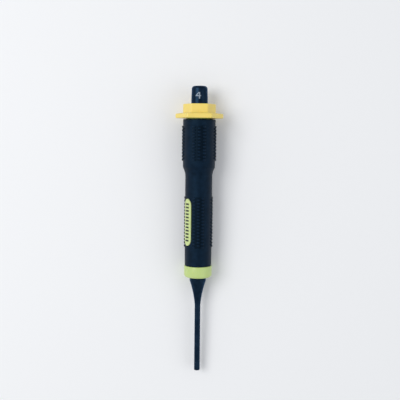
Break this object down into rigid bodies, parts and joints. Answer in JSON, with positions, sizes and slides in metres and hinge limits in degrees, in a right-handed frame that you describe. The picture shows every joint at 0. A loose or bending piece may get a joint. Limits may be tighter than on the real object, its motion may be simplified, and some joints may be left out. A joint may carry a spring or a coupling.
{
  "type": "pin punch",
  "caption": "Parallel pin punch with a soft knurled handle and a hexagonal hand guard below its striking head.",
  "frame": {"origin": "middle of the pin's flat tip", "axes": "+Y along the tool from the tip to the striking face; +Z is the front, so the tool lies on its back with one flat of the hexagonal guard down"},
  "size_m": [0.033, 0.2, 0.029],
  "materials": {
    "steel": "hardened tool steel with a blue-black oxide, satin, with fine turning marks",
    "hard_plastic": "lime polypropylene, moulded smooth",
    "soft_plastic": "black soft elastomer, satin, with a moulded knurl",
    "badge_plastic": "lime plastic plate, smooth and bare",
    "guard_plastic": "orange-yellow impact-resistant plastic, moulded smooth"
  },
  "bodies": {
    "root": {"punch_bar": "steel", "handle_core": "hard_plastic", "grip_sleeve": "soft_plastic", "badge": "badge_plastic", "hand_guard": "guard_plastic"}
  },
  "joints": []
}
